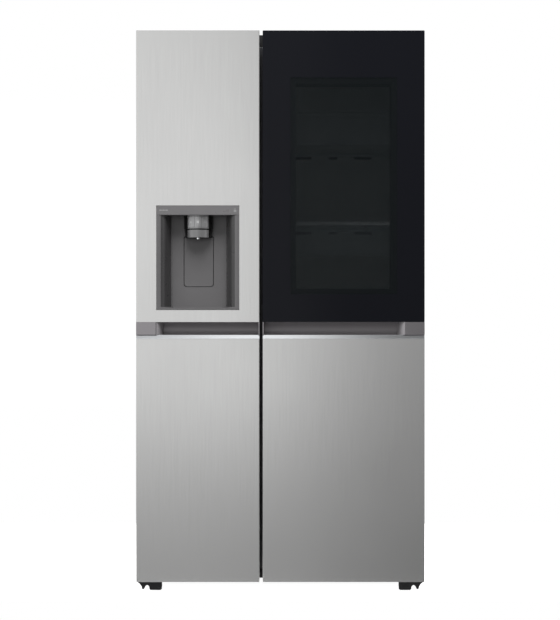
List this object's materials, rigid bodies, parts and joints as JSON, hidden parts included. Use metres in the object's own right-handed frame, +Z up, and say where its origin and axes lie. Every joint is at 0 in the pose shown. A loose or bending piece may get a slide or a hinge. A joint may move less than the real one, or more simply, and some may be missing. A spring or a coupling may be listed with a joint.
{
  "type": "side by side refrigerator",
  "caption": "Tall side by side refrigerator with a freezer door, a wider fridge door with a glass window, full-width grips, an ice and water dispenser, drawers and shelves.",
  "frame": {"origin": "on the floor, under the middle of the box around the closed object", "axes": "+Z up, the doors face -Y, the freezer is at -X"},
  "size_m": [0.913, 0.735, 1.79],
  "materials": {
    "brushed_steel": "vertically brushed stainless steel, satin",
    "painted_case": "smooth grey powder coat",
    "dark_frame": "satin black paint",
    "galvanised": "plain galvanised steel",
    "black_enamel": "black enamel",
    "foam": "rigid polyurethane foam",
    "white_liner": "glossy white polystyrene",
    "dark_plastic": "fine-grained black plastic",
    "fin_aluminium": "mill finish",
    "fan_plastic": "moulded plastic",
    "pan_plastic": "moulded plastic",
    "fitting_plastic": "moulded plastic",
    "shelf_trim": "glossy pale plastic",
    "clear_glass": "tempered glass",
    "frosted_plastic": "frosted clear plastic",
    "clear_plastic": "clear moulded plastic",
    "foot_plastic": "black nylon",
    "grip_plastic": "satin dark grey plastic",
    "trim_aluminium": "bright satin anodised",
    "cap_plastic": "moulded plastic",
    "seal_rubber": "soft extruded gasket",
    "dispenser_plastic": "satin grey plastic",
    "strip_plastic": "smooth grey display strip",
    "nozzle_plastic": "glossy black plastic",
    "key_metal": "finely brushed",
    "black_glass": "black mirror glass",
    "tinted_glass": "tinted insulating glass"
  },
  "bodies": {
    "cabinet": {"case_panels": "painted_case", "front_frame": "dark_frame", "rear_panel": "galvanised", "base_pan": "galvanised", "cabinet_foam": "foam", "cabinet_liners": "white_liner", "top_covers": "dark_plastic", "top_hinges": "galvanised", "lower_hinges": "black_enamel", "machine_cover": "galvanised", "compressor": "black_enamel", "condenser": "fin_aluminium", "fan_shroud": "dark_plastic", "drain_pan": "pan_plastic", "rear_connections": "fitting_plastic", "duct_panel": "white_liner", "shelf_frames": "shelf_trim", "shelf_panes": "clear_glass", "evaporator_cover": "white_liner", "evaporator": "fin_aluminium", "freezer_shelves": "frosted_plastic"},
    "freezer_door": {"freezer_door_core": "foam", "freezer_door_skins": "brushed_steel", "freezer_handle_pocket": "grip_plastic", "freezer_handle_trim": "trim_aluminium", "freezer_door_caps": "cap_plastic", "freezer_door_liner": "white_liner", "freezer_gasket": "seal_rubber", "freezer_baskets": "clear_plastic", "dispenser_housing": "dispenser_plastic", "dispenser_strip": "strip_plastic", "dispenser_nozzle": "nozzle_plastic", "ice_bin": "clear_plastic"},
    "fridge_door": {"fridge_door_core": "foam", "fridge_front_glass": "black_glass", "fridge_upper_wrap": "dark_frame", "fridge_lower_skin": "brushed_steel", "fridge_handle_pocket": "grip_plastic", "fridge_handle_trim": "trim_aluminium", "fridge_door_caps": "cap_plastic", "fridge_door_liner": "white_liner", "fridge_gasket": "seal_rubber", "fridge_baskets": "clear_plastic", "window_panes": "tinted_glass", "window_surround": "dark_plastic"},
    "condenser_fan": {"condenser_fan": "fan_plastic"},
    "evaporator_fan": {"evaporator_fan": "fitting_plastic"},
    "left_foot": {"left_foot": "foot_plastic"},
    "right_foot": {"right_foot": "foot_plastic"},
    "left_roller": {"left_roller": "foot_plastic"},
    "right_roller": {"right_roller": "foot_plastic"},
    "upper_crisper": {"upper_crisper": "clear_plastic"},
    "lower_crisper": {"lower_crisper": "clear_plastic"},
    "upper_freezer_drawer": {"upper_freezer_drawer": "clear_plastic"},
    "lower_freezer_drawer": {"lower_freezer_drawer": "clear_plastic"},
    "dispenser_paddle": {"dispenser_paddle": "dispenser_plastic"},
    "water_button": {"water_button": "key_metal"},
    "cubed_button": {"cubed_button": "key_metal"},
    "crushed_button": {"crushed_button": "key_metal"},
    "drip_tray": {"drip_tray": "dispenser_plastic"}
  },
  "joints": [
    {"name": "freezer_door_hinge", "type": "hinge", "parent": "cabinet", "child": "freezer_door", "pos_m": [-0.4345, -0.31, 0.9], "axis": [0, 0, -1], "range_deg": [0, 120]},
    {"name": "fridge_door_hinge", "type": "hinge", "parent": "cabinet", "child": "fridge_door", "pos_m": [0.4345, -0.31, 0.9], "axis": [0, 0, 1], "range_deg": [0, 120]},
    {"name": "upper_crisper_slide", "type": "slide", "parent": "cabinet", "child": "upper_crisper", "axis": [0, -1, 0], "range_m": [0, 0.17]},
    {"name": "lower_crisper_slide", "type": "slide", "parent": "cabinet", "child": "lower_crisper", "axis": [0, -1, 0], "range_m": [0, 0.17]},
    {"name": "upper_freezer_drawer_slide", "type": "slide", "parent": "cabinet", "child": "upper_freezer_drawer", "axis": [0, -1, 0], "range_m": [0, 0.17]},
    {"name": "lower_freezer_drawer_slide", "type": "slide", "parent": "cabinet", "child": "lower_freezer_drawer", "axis": [0, -1, 0], "range_m": [0, 0.17]},
    {"name": "dispenser_paddle_hinge", "type": "hinge", "parent": "freezer_door", "child": "dispenser_paddle", "pos_m": [-0.26125, -0.2975, 1.13], "axis": [1, 0, 0], "range_deg": [0, 5], "stiffness_Nm_per_rad": 0.6, "springref_deg": -5.73},
    {"name": "water_button_slide", "type": "slide", "parent": "freezer_door", "child": "water_button", "axis": [0, 1, 0], "range_m": [0, 0.0015], "stiffness_N_per_m": 600, "springref_m": -0.0005},
    {"name": "cubed_button_slide", "type": "slide", "parent": "freezer_door", "child": "cubed_button", "axis": [0, 1, 0], "range_m": [0, 0.0015], "stiffness_N_per_m": 600, "springref_m": -0.0005},
    {"name": "crushed_button_slide", "type": "slide", "parent": "freezer_door", "child": "crushed_button", "axis": [0, 1, 0], "range_m": [0, 0.0015], "stiffness_N_per_m": 600, "springref_m": -0.0005},
    {"name": "drip_tray_slide", "type": "slide", "parent": "freezer_door", "child": "drip_tray", "axis": [0, -1, 0], "range_m": [0, 0.05]},
    {"name": "left_foot_turn", "type": "hinge", "parent": "cabinet", "child": "left_foot", "pos_m": [-0.404, -0.23, 0.01], "axis": [0, 0, 1], "continuous": true},
    {"name": "left_roller_spin", "type": "hinge", "parent": "cabinet", "child": "left_roller", "pos_m": [-0.395, 0.295, 0.016], "axis": [1, 0, 0], "continuous": true},
    {"name": "right_foot_turn", "type": "hinge", "parent": "cabinet", "child": "right_foot", "pos_m": [0.404, -0.23, 0.01], "axis": [0, 0, 1], "continuous": true},
    {"name": "right_roller_spin", "type": "hinge", "parent": "cabinet", "child": "right_roller", "pos_m": [0.395, 0.295, 0.016], "axis": [1, 0, 0], "continuous": true},
    {"name": "condenser_fan_spin", "type": "hinge", "parent": "cabinet", "child": "condenser_fan", "pos_m": [0.018, 0.255, 0.155], "axis": [1, 0, 0], "continuous": true},
    {"name": "evaporator_fan_spin", "type": "hinge", "parent": "cabinet", "child": "evaporator_fan", "pos_m": [-0.24925, 0.244, 1.4], "axis": [0, 1, 0], "continuous": true}
  ],
  "couplings": [
    {"joint": "upper_crisper_slide", "follows": "fridge_door_hinge", "m_per_rad": 0.0811},
    {"joint": "lower_crisper_slide", "follows": "fridge_door_hinge", "m_per_rad": 0.0811},
    {"joint": "upper_freezer_drawer_slide", "follows": "freezer_door_hinge", "m_per_rad": 0.0811},
    {"joint": "lower_freezer_drawer_slide", "follows": "freezer_door_hinge", "m_per_rad": 0.0811}
  ]
}
